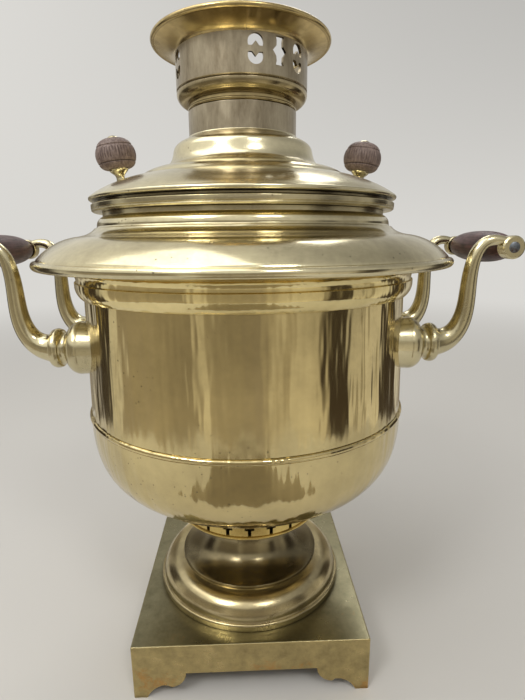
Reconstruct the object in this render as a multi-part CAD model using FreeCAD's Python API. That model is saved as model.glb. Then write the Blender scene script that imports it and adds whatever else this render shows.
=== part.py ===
import FreeCAD, Part
import math
import os

from FreeCAD import Placement, Rotation, Vector

# A charcoal samovar in brass: a square plate on bracket feet, a turned pedestal, a ring of air slots,
# a water vessel round a fire tube, a lid with two wooden knobs, a pierced crown for the teapot and,
# on the +Y side, a plug tap. Millimetres, +Z up, the origin on the axis where the feet stand.
# Left is -X and right is +X, both as seen from -Y, the side opposite the tap.

# Driving dimensions
PLATE_HALF = 82.3        # half the side of the square plate
PLATE_TOP = 42.0
PLATE_SKIN = 2.5
APRON_SKIN = 3.0
APRON_Z = 19.3           # lower edge of the apron between the feet
PLATE_HOLE_R = 62.0
STEM_Z = 62.4            # where the bell stands on the cushion
GALLERY_Z = 103.5
GALLERY_R = 55.0
BOWL_Z = 113.5
BOWL_R = 114.4
SEAM_Z = 190.9
SEAM_H = 3.5
WALL_LOW_R = 113.7       # the wall narrows a little from the seam to the collar
WALL_R = 112.0
COLLAR_Z = 273.8
RIM_Z = 291.0            # top of the wall, underside of the shoulder
NECK_R = 96.0
NECK_Z = 328.4
SEAT_TOP = 333.4
SEAT_R = 102.8
LID_Z = 335.4
LID_R = 104.0
LID_NECK_R = 36.4
LIP_Z = 377.4
LID_TOP = 393.3
SKIRT_R = 91.4
SKIRT_SKIN = 1.8
CROWN_Z = 393.6
CROWN_R = 43.6
BAND_Z = 405.0
FLANGE_Z = 427.6
FLANGE_R = 58.9
TOP_Z = 436.4
SHEET = 1.8              # thickness of the spun brass
REST_GAP = 0.3           # left between a piece that lifts or turns and what it rests on

TUBE_R = 33.0            # outside of the chimney tube
TUBE_SKIN = 1.6
TUBE_Z = 248.0           # seam between the firepot and the straight tube
TUBE_TOP = 404.0
FIREPOT_R = 46.0
LEDGE_Z = 116.0
LEDGE_R = 26.5
GRATE_R = 30.4
GRATE_T = 4.0

SLOTS = 22
WINDOW_PITCH = 20.5      # degrees between the windows of one group in the crown
WINDOW_GROUPS = 3

BOSS_Y = 36.5
BOSS_Z = 241.0
STUD_R = 3.0
GRIP_X = 173.0
GRIP_Z = 304.3
EYE_R = 7.5
EYE_IN = 38.3            # inner and outer faces of the eye at the arm's end, along Y
EYE_OUT = 46.2
ROD_R = 2.5
ARM_Y = 42.2             # the arm's middle at the eye

KNOB_R = 83.0            # where the knobs stand on the lid
KNOB_TURN = 5.5
KNOB_LEAN = 8.0

TAP_Z = 168.0
BARREL_Y = 162.0
BARREL_Z = 150.0
BARREL_H = 36.0
PLUG_LOW_R = 7.6
PLUG_TOP_R = 9.0
PLUG_GAP = 0.06          # running clearance of the ground taper
WATERWAY_R = 4.2
SPOUT_Y = 192.0
SPOUT_END = 138.0

VENT_Y = 80.0
VENT_X = 7.0             # steam hole at +VENT_X, flap pivot at -VENT_X
VENT_TOP = 351.4
VENT_R = 3.0
FLAP_T = 1.8
RIVET_R = 1.4

X_AXIS = Vector(1, 0, 0)
Y_AXIS = Vector(0, 1, 0)
Z_AXIS = Vector(0, 0, 1)
ORIGIN = Vector(0, 0, 0)


# Outlines and turned shapes
def outline(start, *runs):
    """A closed face in the XZ plane. A run of one point is a line, of two an arc through the
    first of them, of three a curve whose first two points are its controls."""
    edges = []
    here = Vector(start[0], 0, start[1])
    for run in runs + ([start],):
        points = [here] + [Vector(x, 0, z) for x, z in run]
        if (points[-1] - here).Length < 1e-6:
            continue
        if len(points) == 2:
            edges.append(Part.makeLine(*points))
        elif len(points) == 3:
            edges.append(Part.Arc(*points).toShape())
        else:
            bezier = Part.BezierCurve()
            bezier.setPoles(points)
            edges.append(bezier.toShape())
        here = points[-1]
    return Part.Face(Part.Wire(edges))


def turned(start, *runs):
    """The outline turned about Z, its points being radius and height."""
    return outline(start, *runs).revolve(ORIGIN, Z_AXIS, 360)


def aimed(shape, place, direction):
    """The shape with its own origin moved to place and its own +Z turned to direction."""
    moved = shape.copy()
    moved.Placement = Placement(place, Rotation(Z_AXIS, direction))
    return moved


def rod(radius, place, direction, length):
    return Part.makeCylinder(radius, length, place, direction)


def dome(radius, base, rise):
    """The run that closes a turned piece with a spherical cap, from the radius at base up to the axis."""
    ball = (radius ** 2 + rise ** 2) / (2 * rise)
    centre = base + rise - ball
    half = 0.5 * math.asin(min(1.0, radius / ball))
    return [(ball * math.sin(half), centre + ball * math.cos(half)), (0, base + rise)]


def around(shape, degrees):
    turned_copy = shape.copy()
    turned_copy.rotate(ORIGIN, Z_AXIS, degrees)
    return turned_copy


def mirrored(shape, normal):
    return shape.mirror(ORIGIN, normal)


def hexagon(across_flats, height, place, direction):
    corner = across_flats / math.sqrt(3)
    points = [Vector(corner * math.cos(math.radians(60 * k)), corner * math.sin(math.radians(60 * k)), 0)
              for k in range(7)]
    return aimed(Part.Face(Part.makePolygon(points)).extrude(Vector(0, 0, height)), place, direction)


# Cores: the outside and the inside of the vessel as full solids, to seat other pieces against
def wall_core(inset):
    return turned((0, SEAM_Z), [(WALL_LOW_R - inset, SEAM_Z + SEAM_H)], [(WALL_R - inset, COLLAR_Z)],
                  [(WALL_R - inset, RIM_Z)], [(0, RIM_Z)])


def bowl_core(inset):
    return turned((0, BOWL_Z + inset), [(GALLERY_R - 0.7 * inset, BOWL_Z + inset)],
                  [(83.3 - 0.7 * inset, 139.3 + 0.8 * inset), (BOWL_R - inset, 132.7 + 0.5 * inset),
                   (BOWL_R - inset, 188.5)],
                  [(BOWL_R - inset, SEAM_Z)], [(0, SEAM_Z)])


def lid_outside():
    """The runs of the lid's upper face, from the lip round its neck out to the rim."""
    return ([(37.8, 374.6), (45.6, 374.6), (47.3, 369.0)],
            [(48.4, 364.5), (48.6, 359.5), (55.5, 357.5)],
            [(60.0, 356.2), (65.5, 355.2), (68.6, 352.6)],
            [(70.2, 351.2)],
            [(82.0, 349.0), (95.0, 344.0), (LID_R - 1.0, LID_Z + 2.6)],
            [(LID_R, LID_Z + 1.3), (LID_R - 1.0, LID_Z)])


def lid_core():
    return turned((0, LIP_Z), [(LID_NECK_R + 0.8, LIP_Z)], *lid_outside(), [(0, LID_Z)])


# Stand
def foot_opening():
    """The space between two feet of one side: quarter rounds under the apron, then hollow brackets."""
    half = PLATE_HALF
    run_right = ([(half - 34.0, 12.0), (half - 26.0, 8.0)],
                 [(half - 24.0, 9.6)],
                 [(half - 20.0, 9.7)],
                 [(half - 13.6, 6.2), (half - 9.0, -1.0)])
    run_left = ([(-(half - 9.0), -1.0)],
                [(-(half - 13.6), 6.2), (-(half - 20.0), 9.7)],
                [(-(half - 24.0), 9.6)],
                [(-(half - 26.0), 8.0)],
                [(-(half - 34.0), 12.0), (-(half - 36.7), APRON_Z)])
    face = outline((half - 36.7, APRON_Z), *run_right, *run_left)
    face.translate(Vector(0, -half - 1, 0))
    return face.extrude(Vector(0, 2 * half + 2, 0))


def base_plate():
    half = PLATE_HALF
    inner = half - APRON_SKIN
    block = Part.makeBox(2 * half, 2 * half, PLATE_TOP, Vector(-half, -half, 0))
    upper = [e for e in block.Edges if e.BoundBox.ZMax > PLATE_TOP - 0.01]
    block = block.makeFillet(0.8, upper)
    hollow = Part.makeBox(2 * inner, 2 * inner, PLATE_TOP - PLATE_SKIN, Vector(-inner, -inner, 0))
    opening = foot_opening()
    hole = rod(PLATE_HOLE_R, ORIGIN, Z_AXIS, PLATE_TOP + 1)
    return block.cut(hollow).cut(opening).cut(around(opening, 90)).cut(hole)


def pedestal_foot():
    """The turned ring and cushion, open underneath, with a land on top for the stem."""
    return turned((72.8, PLATE_TOP), [(72.8, 45.6)],
                  [(72.5, 46.8), (71.2, 47.3)],
                  [(70.6, 48.2)],
                  [(67.9, 56.6), (56.2, 62.2)],
                  [(54.9, STEM_Z)], [(50.5, STEM_Z)], [(50.5, 60.6)], [(55.4, 60.2)],
                  [(66.2, 55.3), (68.8, 47.6)],
                  [(69.8, PLATE_TOP)])


def pedestal_stem():
    """A spun bell that narrows from the cushion and flares out to the gallery."""
    return turned((54.4, STEM_Z), [(54.4, 64.0)], [(52.4, 64.8)],
                  [(39.0, 67.2), (31.6, 76.0), (30.6, 87.0)],
                  [(30.2, 95.0), (36.0, 99.6), (47.0, 101.7)],
                  [(GALLERY_R - 1.0, 101.7)], [(GALLERY_R - 1.0, GALLERY_Z)], [(28.6, GALLERY_Z)],
                  [(28.6, 87.0)],
                  [(29.6, 74.8), (37.6, 65.0), (51.2, 62.9)],
                  [(51.2, STEM_Z)])


def slot_cutter():
    """One T-shaped air slot, on the -Y side."""
    bar = Part.makeBox(7.0, 8.0, 1.8, Vector(-3.5, -GALLERY_R - 4, 110.2))
    stem = Part.makeBox(2.5, 8.0, 4.6, Vector(-1.25, -GALLERY_R - 4, 105.9))
    return bar.fuse(stem)


def air_gallery():
    band = turned((GALLERY_R - SHEET, GALLERY_Z), [(GALLERY_R, GALLERY_Z)],
                  [(GALLERY_R + 1.2, GALLERY_Z + 1.0), (GALLERY_R, GALLERY_Z + 2.0)],
                  [(GALLERY_R, BOWL_Z)], [(GALLERY_R - SHEET, BOWL_Z)])
    cutter = slot_cutter()
    return band.cut(Part.Compound([around(cutter, k * 360.0 / SLOTS) for k in range(SLOTS)]))


# Vessel
def body_bowl():
    core = bowl_core(0).cut(bowl_core(SHEET))
    inside = Part.makeCylinder(BOWL_R - SHEET, 4, Vector(0, 0, SEAM_Z - 2))
    collar_hole = rod(TUBE_R, Vector(0, 0, BOWL_Z - 1), Z_AXIS, 5)
    return core.cut(inside).cut(collar_hole).cut(rod(6.8, Vector(0, 90, TAP_Z), Y_AXIS, 40))


def seam_bead():
    top = SEAM_Z + SEAM_H
    return turned((BOWL_R - SHEET, SEAM_Z), [(BOWL_R, SEAM_Z)],
                  [(BOWL_R + 1.0, SEAM_Z + 1.8), (WALL_LOW_R, top)],
                  [(WALL_LOW_R - SHEET, top)])


def body_wall():
    low = SEAM_Z + SEAM_H
    wall = turned((WALL_LOW_R, low), [(WALL_R, COLLAR_Z)], [(WALL_R, RIM_Z)], [(WALL_R - SHEET, RIM_Z)],
                  [(WALL_R - SHEET, COLLAR_Z)], [(WALL_LOW_R - SHEET, low)])
    for y in (-BOSS_Y, BOSS_Y):
        wall = wall.cut(rod(STUD_R + 0.1, Vector(-WALL_R - 5, y, BOSS_Z), X_AXIS, 2 * WALL_R + 10))
    return wall


def collar_ring():
    return turned((WALL_R, COLLAR_Z), [(113.4, COLLAR_Z)],
                  [(116.2, 277.4), (117.3, 283.0)],
                  [(117.3, 284.6)], [(116.3, 285.1)],
                  [(117.0, 288.7), (119.6, RIM_Z)],
                  [(WALL_R, RIM_Z)])


def shoulder():
    """The wide moulded ring from the wall out to its rolled rim and back up to the neck."""
    return turned((WALL_R - SHEET, RIM_Z), [(119.6, RIM_Z)], [(137.4, 293.4)],
                  [(141.4, 296.0), (140.2, 298.4)],
                  [(138.2, 298.8)], [(137.8, 299.8)],
                  [(132.4, 306.2), (123.0, 312.0), (113.0, 313.2)],
                  [(108.0, 313.9), (104.0, 315.4), (101.8, 318.3)],
                  [(100.6, 318.6)], [(100.0, 319.4)],
                  [(98.9, 323.4), (NECK_R, 325.6)],
                  [(NECK_R, NECK_Z)], [(NECK_R - SHEET, NECK_Z)], [(NECK_R - SHEET, 324.0)],
                  [(98.0, 317.8)], [(103.0, 313.3)], [(112.8, 311.4)],
                  [(122.0, 310.2), (130.0, 305.4), (135.4, 299.4)],
                  [(136.6, 295.6)], [(119.6, 292.8)], [(WALL_R - SHEET, 292.8)])


def lid_seat():
    return turned((92.0, NECK_Z), [(101.6, NECK_Z)], [(SEAT_R, NECK_Z + 1.0)],
                  [(SEAT_R - 0.6, NECK_Z + 1.5)], [(SEAT_R, NECK_Z + 2.0)],
                  [(SEAT_R, SEAT_TOP - 0.6)], [(SEAT_R - 0.6, SEAT_TOP)], [(92.0, SEAT_TOP)])


def firepot():
    """Holds the fire: a narrow throat with a ledge for the grate, a wide pot, a shoulder up to the tube."""
    bore = TUBE_R - TUBE_SKIN
    pot = FIREPOT_R - TUBE_SKIN
    return turned((LEDGE_R, BOWL_Z - 1.5), [(TUBE_R + 3, BOWL_Z - 1.5)], [(TUBE_R + 3, BOWL_Z)],
                  [(TUBE_R, BOWL_Z)], [(TUBE_R, 122.0)],
                  [(TUBE_R, 129.0), (FIREPOT_R, 130.0), (FIREPOT_R, 143.0)],
                  [(FIREPOT_R, 190.0)],
                  [(FIREPOT_R, 215.0), (TUBE_R, 222.0), (TUBE_R, TUBE_Z)],
                  [(bore, TUBE_Z)],
                  [(bore, 221.0), (pot, 214.0), (pot, 190.0)],
                  [(pot, 143.4)],
                  [(pot, 131.4), (bore, 130.4), (bore, 122.4)],
                  [(bore, LEDGE_Z)], [(LEDGE_R, LEDGE_Z)])


def chimney_tube():
    """The straight tube from the firepot up through the lid into the crown."""
    bore = TUBE_R - TUBE_SKIN
    return turned((bore, TUBE_Z), [(TUBE_R, TUBE_Z)], [(TUBE_R, TUBE_TOP)], [(bore, TUBE_TOP)])


def grate():
    """A cast-iron disc with parallel slots, dropped down the tube onto the ledge."""
    low = LEDGE_Z + REST_GAP
    disc = rod(GRATE_R, Vector(0, 0, low), Z_AXIS, GRATE_T)
    for x, half in ((0, 23.0), (9.4, 20.5), (18.8, 13.5)):
        for side in ((1,) if x == 0 else (-1, 1)):
            slot = Part.makeBox(5.0, 2 * half, GRATE_T + 2, Vector(side * x - 2.5, -half, low - 1))
            disc = disc.cut(slot)
    return disc


# Handles
def arm_line():
    """The arm's centreline in XZ, as three curves that join smoothly from the boss to the eye."""
    knee = (148.3, 274.0)
    bend = (162.6, 309.0)
    return [[(127.0, BOSS_Z), (141.5, BOSS_Z + 0.6), (148.3, 252.0), knee],
            [knee, (148.3, 295.0), (150.2, 309.2), bend],
            [bend, (167.6, 308.9), (171.0, 307.6), (GRIP_X, GRIP_Z)]]


def arm_radius(share):
    """The arm tapers fast out of the boss and slowly after that; share runs from 0 to 1."""
    return 2.9 + 4.0 * (1 - share) + 3.7 * math.exp(-share / 0.13)


def arm_sections():
    """Circles square to the centreline, five along each long curve."""
    counts = (5, 5, 2)
    sections = []
    done = 0.0
    for poles, count, part in zip(arm_line(), counts, (0.44, 0.44, 0.12)):
        bezier = Part.BezierCurve()
        bezier.setPoles([Vector(x, 0, z) for x, z in poles])
        for k in range(count + (1 if count == 2 else 0)):
            along = k / count
            share = done + part * along
            middle = bezier.value(along)
            heading = bezier.tangent(along)[0]
            place = Vector(middle.x, BOSS_Y + (ARM_Y - BOSS_Y) * share, middle.z)
            sections.append(Part.Wire(Part.makeCircle(arm_radius(share), place, heading)))
        done += part
    return sections


def boss():
    """The turned boss between the wall and the arm, along +X."""
    shape = turned((0, 98.0), [(17.5, 98.0)], [(17.5, 108.4)],
                   [(16.9, 113.4), (13.6, 116.9)],
                   [(11.4, 117.6)],
                   [(10.5, 120.0), (11.4, 122.4)],
                   [(12.4, 122.8)],
                   [(13.2, 125.6), (12.2, 128.3)],
                   [(0, 128.3)])
    return aimed(shape, Vector(0, BOSS_Y, BOSS_Z), X_AXIS).cut(wall_core(0))


def handle_arm():
    """The arm on the +X +Y side: boss, stud through the wall, tapering bent bar, eye for the rod."""
    stud = rod(STUD_R, Vector(93.5, BOSS_Y, BOSS_Z), X_AXIS, 22)
    bar = Part.makeLoft(arm_sections(), True)
    eye = turned((0, EYE_IN), [(EYE_R - 0.5, EYE_IN)], [(EYE_R, EYE_IN + 0.5)], [(EYE_R, EYE_OUT - 1.0)],
                 [(EYE_R - 1.0, EYE_OUT)], [(0, EYE_OUT)])
    eye = aimed(eye, Vector(GRIP_X, 0, GRIP_Z), Y_AXIS)
    hole = rod(ROD_R + 0.05, Vector(GRIP_X, EYE_IN - 5, GRIP_Z), Y_AXIS, 16)
    return boss().fuse(stud).fuse(bar).fuse(eye).cut(hole)


def handle_grip():
    """A turned wooden barrel between the two eyes of the +X handle."""
    half = EYE_IN - 0.3
    shape = turned((ROD_R + 0.05, -half), [(5.4, -half)],
                   [(9.6, -half + 7), (11.0, -16.0), (11.0, 0)],
                   [(11.0, 16.0), (9.6, half - 7), (5.4, half)],
                   [(ROD_R + 0.05, half)])
    return aimed(shape, Vector(GRIP_X, 0, GRIP_Z), Y_AXIS)


def handle_rod():
    """The iron rod through eyes and grip, its ends hammered over."""
    half = turned((0, 0), [(ROD_R, 0)], [(ROD_R, EYE_OUT)], [(3.6, EYE_OUT)], dome(3.6, EYE_OUT, 0.9))
    place = Vector(GRIP_X, 0, GRIP_Z)
    return aimed(half, place, Y_AXIS).fuse(aimed(half, place, -Y_AXIS)).removeSplitter()


def four_ways(shape):
    pair = [shape, mirrored(shape, Y_AXIS)]
    return Part.Compound(pair + [mirrored(s, X_AXIS) for s in pair])


def arm_washers():
    """Saddle washers, flat to the nut and curved to the inside of the wall."""
    blank = rod(7.6, Vector(99.5, BOSS_Y, BOSS_Z), X_AXIS, 10)
    saddle = blank.common(wall_core(SHEET)).cut(rod(STUD_R + 0.1, Vector(95, BOSS_Y, BOSS_Z), X_AXIS, 20))
    return four_ways(saddle)


def arm_nuts():
    nut = hexagon(10.0, 4.5, Vector(95.0, BOSS_Y, BOSS_Z), X_AXIS)
    return four_ways(nut.cut(rod(STUD_R + 0.02, Vector(90, BOSS_Y, BOSS_Z), X_AXIS, 20)))


# Lid
def knob_place(side):
    """Where a knob stands: side is -1 on the left and 1 on the right."""
    turn = math.radians(KNOB_TURN)
    lean = math.radians(KNOB_LEAN)
    out = Vector(side * math.cos(turn), side * math.sin(turn), 0)
    place = out * KNOB_R + Vector(0, 0, 347.3)
    return place, out * math.sin(lean) + Vector(0, 0, math.cos(lean))


def lid():
    """The stepped dome, with a thin lip that the neck is soldered into."""
    shell = turned((LID_NECK_R, LIP_Z), [(LID_NECK_R + 0.8, LIP_Z)], *lid_outside(),
                   [(SKIRT_R - SKIRT_SKIN, LID_Z)], [(SKIRT_R - SKIRT_SKIN, 340.0)],
                   [(84.0, 343.4), (76.0, 346.6), (69.6, 349.0)],
                   [(66.8, 351.4)], [(55.0, 355.4)], [(48.6, 357.4)], [(46.2, 362.0)], [(45.3, 368.2)],
                   [(43.2, 371.2)], [(38.6, 372.8)], [(LID_NECK_R, 373.2)])
    for side in (-1, 1):
        place, lean = knob_place(side)
        shell = shell.cut(rod(2.5, place - lean * 12, lean, 20))
    return shell.cut(rod(VENT_R, Vector(VENT_X, VENT_Y, 335), Z_AXIS, 30))


def lid_skirt():
    """The flanged ring under the dome. It keeps the lid centred in its seat."""
    rest = SEAT_TOP + REST_GAP
    return turned((SKIRT_R - SKIRT_SKIN, 326.0), [(SKIRT_R, 326.0)], [(SKIRT_R, rest)], [(98.0, rest)],
                  [(98.0, LID_Z)], [(SKIRT_R - SKIRT_SKIN, LID_Z)])


def lid_neck():
    """The sleeve round the fire tube, which the crown stands on."""
    inside = LID_NECK_R - 2.0
    return turned((inside, 372.6), [(LID_NECK_R, 372.6)], [(LID_NECK_R, LID_TOP)], [(inside, LID_TOP)])


def knob_stem(side):
    """A brass trumpet under the wood, with a spindle up to a small finial and a tail through the lid."""
    place, lean = knob_place(side)
    upper = turned((0, -3.0), [(3.9, -3.0)], [(3.9, 0.9)], [(2.9, 1.8)], [(2.8, 4.6)],
                   [(2.9, 7.6), (5.6, 7.6), (6.4, 10.0)],
                   [(6.4, 10.4)], [(2.2, 10.4)], [(2.2, 29.5)], [(4.2, 29.5)],
                   dome(4.2, 29.5, 2.0))
    tail = aimed(rod(2.4, Vector(0, 0, -7), Z_AXIS, 9), place, lean)
    return aimed(upper, place, lean).cut(lid_core()).fuse(tail)


def lid_knob(side):
    """A turned wooden knob with two scored lines."""
    place, lean = knob_place(side)
    shape = turned((2.25, 10.4), [(8.2, 10.4)],
                   [(10.7, 11.8), (12.0, 13.7)],
                   [(11.4, 14.1)], [(12.3, 14.6)],
                   [(13.25, 19.2), (12.0, 24.0)],
                   [(11.2, 24.4)], [(11.5, 25.1)],
                   [(8.9, 28.1), (4.2, 29.5)],
                   [(2.25, 29.5)])
    return aimed(shape, place, lean)


def knob_nuts():
    shell = lid()
    nuts = []
    for side in (-1, 1):
        place, lean = knob_place(side)
        nut = hexagon(8.0, 4.4, place - lean * 6.4, lean)
        nuts.append(nut.cut(rod(2.42, place - lean * 12, lean, 14)).cut(shell))
    return Part.Compound([nut.Solids[0] for nut in nuts])


def slab(radius, low, high):
    """A round-ended slab along X, over the steam hole and the flap's pivot."""
    ends = [rod(radius, Vector(x, VENT_Y, low), Z_AXIS, high - low) for x in (-VENT_X, VENT_X)]
    middle = Part.makeBox(2 * VENT_X, 2 * radius, high - low, Vector(-VENT_X, VENT_Y - radius, low))
    return middle.fuse(ends).removeSplitter()


def vent_seat():
    """The pad that levels the sloping lid for the flap, with the flap's rivet standing in it."""
    pad = slab(6.0, 340.0, VENT_TOP).cut(lid_core())
    head = VENT_TOP + FLAP_T + 2 * REST_GAP
    rivet = turned((0, VENT_TOP - 1), [(RIVET_R, VENT_TOP - 1)], [(RIVET_R, head)], [(2.7, head)],
                   dome(2.7, head, 1.4))
    rivet.translate(Vector(-VENT_X, VENT_Y, 0))
    return pad.fuse(rivet).cut(rod(VENT_R, Vector(VENT_X, VENT_Y, 335), Z_AXIS, 30))


def vent_flap():
    low = VENT_TOP + REST_GAP
    plate = slab(5.4, low, low + FLAP_T).cut(rod(RIVET_R + 0.06, Vector(-VENT_X, VENT_Y, low - 1), Z_AXIS, 4))
    button = rod(1.5, Vector(VENT_X, VENT_Y, low), Z_AXIS, 4).fuse(
        Part.makeSphere(2.7, Vector(VENT_X, VENT_Y, low + 5.4)))
    return plate.fuse(button)


# Crown
def crown_base():
    return turned((TUBE_R + 0.7, CROWN_Z), [(35.8, CROWN_Z)],
                  [(36.4, 394.4), (36.2, 395.6)],
                  [(36.1, 398.2)],
                  [(41.9, 399.7), (CROWN_R, 404.2)],
                  [(CROWN_R - 0.7, BAND_Z)], [(CROWN_R - SHEET, BAND_Z)], [(CROWN_R - 2.4, 403.4)],
                  [(39.6, 401.2)], [(35.0, 400.0)], [(TUBE_R + 0.7, 398.8)])


def kidney_window(flip):
    """Half of a figure of eight: a round window with a pointed tongue, on the -Y side."""
    middle = 418.5
    centre = middle + 3.5 * flip
    radius = 4.7
    edge = middle + 1.6 * flip
    reach = math.sqrt(radius ** 2 - (centre - edge) ** 2)
    face = outline((2.2, edge), [(reach, edge)],
                   [(0, centre + radius * flip), (-reach, edge)],
                   [(-2.2, edge)], [(0, edge + 2.5 * flip)])
    face.translate(Vector(0, -CROWN_R - 4, 0))
    return face.extrude(Vector(0, 8, 0))


def spindle_window():
    """A narrow window with square ends and pointed shoulders at mid height, on the -Y side."""
    middle = 419.0
    right = [(2.8, middle + 7.8), (2.3, middle + 5.2), (2.4, middle + 2.6), (4.8, middle),
             (2.6, middle - 2.8), (2.3, middle - 5.4), (2.8, middle - 7.6)]
    left = [(-x, z) for x, z in reversed(right)]
    face = outline(right[0], *[[p] for p in right[1:] + left])
    face.translate(Vector(0, -CROWN_R - 4, 0))
    return face.extrude(Vector(0, 8, 0))


def crown_band():
    """The pierced cylinder: three groups of an eight, a spindle and an eight."""
    band = turned((CROWN_R - SHEET, BAND_Z), [(CROWN_R - 0.7, BAND_Z)], [(CROWN_R, BAND_Z + 0.7)],
                  [(CROWN_R, FLANGE_Z)], [(CROWN_R - SHEET, FLANGE_Z)])
    eight = kidney_window(1).fuse(kidney_window(-1))
    spindle = spindle_window()
    cutters = []
    for group in range(WINDOW_GROUPS):
        turn = 11.0 + group * 360.0 / WINDOW_GROUPS
        cutters += [around(eight, turn), around(spindle, turn + WINDOW_PITCH),
                    around(eight, turn + 2 * WINDOW_PITCH)]
    return band.cut(Part.Compound(cutters))


def crown_flange():
    return turned((CROWN_R - SHEET, FLANGE_Z), [(CROWN_R, FLANGE_Z)],
                  [(45.0, 430.4), (51.0, 432.4), (56.6, 433.3)],
                  [(FLANGE_R, 434.9), (57.5, TOP_Z)],
                  [(56.4, TOP_Z)],
                  [(55.2, 435.2)],
                  [(50.2, 434.2), (43.2, 432.2), (CROWN_R - SHEET, 428.4)])


# Tap
def along_tap(start, *runs):
    """Turned about the tap's own axis, its heights being Y."""
    return aimed(turned(start, *runs), Vector(0, 0, TAP_Z), Y_AXIS)


def plug_taper(gap, low):
    """The ground cone of the plug, or of its seat where gap is 0; low is its end over the barrel's foot."""
    slope = (PLUG_TOP_R - PLUG_LOW_R) / BARREL_H
    high = BARREL_H + 0.4
    cone = turned((0, BARREL_Z + low), [(PLUG_LOW_R + slope * low - gap, BARREL_Z + low)],
                  [(PLUG_LOW_R + slope * high - gap, BARREL_Z + high)], [(0, BARREL_Z + high)])
    cone.translate(Vector(0, BARREL_Y, 0))
    return cone


def spout_core(radius, extra):
    """The spout's path as a solid round bar of this radius: out, round a quarter bend, down."""
    bend = SPOUT_Y - 176.0
    out = rod(radius, Vector(0, BARREL_Y, TAP_Z), Y_AXIS, SPOUT_Y - bend - BARREL_Y)
    circle = Part.Face(Part.Wire(Part.makeCircle(radius, Vector(0, SPOUT_Y - bend, TAP_Z), Y_AXIS)))
    quarter = circle.revolve(Vector(0, SPOUT_Y - bend, TAP_Z - bend), Vector(-1, 0, 0), 90)
    down = rod(radius, Vector(0, SPOUT_Y, SPOUT_END - extra), Z_AXIS, TAP_Z - bend - SPOUT_END + extra)
    return out.fuse(quarter).fuse(down)


def tap_body():
    """Shank, barrel and spout in one casting, drilled for the water and reamed for the plug."""
    shank = along_tap((0, 93.0), [(6.5, 93.0)], [(6.5, 119.2)], [(8.6, 119.8)],
                      [(9.6, 122.0), (8.0, 124.6)],
                      [(6.4, 130.0), (6.6, 138.0), (8.6, 146.0)],
                      [(9.6, 148.0)], [(9.6, 151.0)], [(8.6, 152.0)], [(8.6, BARREL_Y)], [(0, BARREL_Y)])
    top = BARREL_Z + BARREL_H
    barrel = turned((0, BARREL_Z), [(10.8, BARREL_Z)], [(11.6, BARREL_Z + 1.2)], [(10.9, BARREL_Z + 3.0)],
                    [(12.4, top - 4.0)], [(13.4, top - 2.6)], [(13.0, top)], [(0, top)])
    barrel.translate(Vector(0, BARREL_Y, 0))
    mouth = turned((0, SPOUT_END), [(7.4, SPOUT_END)], [(8.2, SPOUT_END + 1.6)], [(7.4, SPOUT_END + 3.4)],
                   [(0, SPOUT_END + 3.4)])
    mouth.translate(Vector(0, SPOUT_Y, 0))
    solid = shank.fuse(barrel).fuse(spout_core(6.8, 0)).fuse(mouth)
    bore = rod(WATERWAY_R, Vector(0, 92, TAP_Z), Y_AXIS, BARREL_Y - 92)
    return solid.cut(bore).cut(spout_core(WATERWAY_R, 1)).cut(plug_taper(0, -1.0))


def tap_rosette():
    blank = along_tap((6.8, 96.0), [(17.0, 96.0)], [(17.0, 114.6)],
                      [(16.4, 116.4), (14.6, 116.8)],
                      [(13.4, 116.0)],
                      [(11.6, 118.4), (8.8, 119.2)],
                      [(6.8, 119.2)])
    return blank.cut(bowl_core(0))


def tap_gasket():
    blank = along_tap((6.6, 101.0), [(12.0, 101.0)], [(12.0, 120.0)], [(6.6, 120.0)])
    return blank.common(bowl_core(SHEET))


def tap_lock_nut():
    nut = hexagon(22.0, 5.5, Vector(0, 95.5, TAP_Z), Y_AXIS)
    return nut.cut(rod(6.55, Vector(0, 90, TAP_Z), Y_AXIS, 20))


def tap_key():
    """The tapered plug with its crosswise port, shut at rest, and a pierced three-lobed handle across it."""
    top = BARREL_Z + BARREL_H
    tail = rod(4.0, Vector(0, BARREL_Y, BARREL_Z - 7.5), Z_AXIS, 9)
    neck = turned((0, top + REST_GAP), [(11.4, top + REST_GAP)], [(11.4, top + 1.9)], [(6.0, top + 3.4)],
                  [(4.2, top + 7.0), (4.6, top + 14.0)],
                  [(0, top + 14.0)])
    neck.translate(Vector(0, BARREL_Y, 0))
    port = rod(WATERWAY_R - 0.2, Vector(-20, BARREL_Y, TAP_Z), X_AXIS, 40)
    return plug_taper(PLUG_GAP, 0.8).cut(port).fuse(tail).fuse(neck).fuse(key_handle(top + 12.0))


def key_handle(low):
    """A flat handle of three pierced lobes on a stem, standing across the spout."""
    lobes = [(-12.0, low + 11.0), (12.0, low + 11.0), (0.0, low + 22.0)]
    start = Vector(0, BARREL_Y - 2.1, 0)
    web = outline((-3.4, low), [(3.4, low)], [(12.0, low + 5.0)], [(15.0, low + 14.0)], [(4.0, low + 25.0)],
                  [(-4.0, low + 25.0)], [(-15.0, low + 14.0)], [(-12.0, low + 5.0)])
    web.translate(start)
    plate = web.extrude(Vector(0, 4.2, 0))
    for x, z in lobes:
        plate = plate.fuse(rod(8.0, start + Vector(x, 0, z), Y_AXIS, 4.2))
    for x, z in lobes:
        plate = plate.cut(rod(3.6, start + Vector(x, -1, z), Y_AXIS, 7))
    return plate


def tap_key_washer():
    ring = rod(10.0, Vector(0, BARREL_Y, BARREL_Z - REST_GAP - 1.5), Z_AXIS, 1.5)
    return ring.cut(rod(4.05, Vector(0, BARREL_Y, BARREL_Z - 6), Z_AXIS, 6))


def tap_key_nut():
    nut = hexagon(12.0, 4.4, Vector(0, BARREL_Y, BARREL_Z - 6.2), Z_AXIS)
    return nut.cut(rod(4.05, Vector(0, BARREL_Y, BARREL_Z - 12), Z_AXIS, 12))


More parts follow.
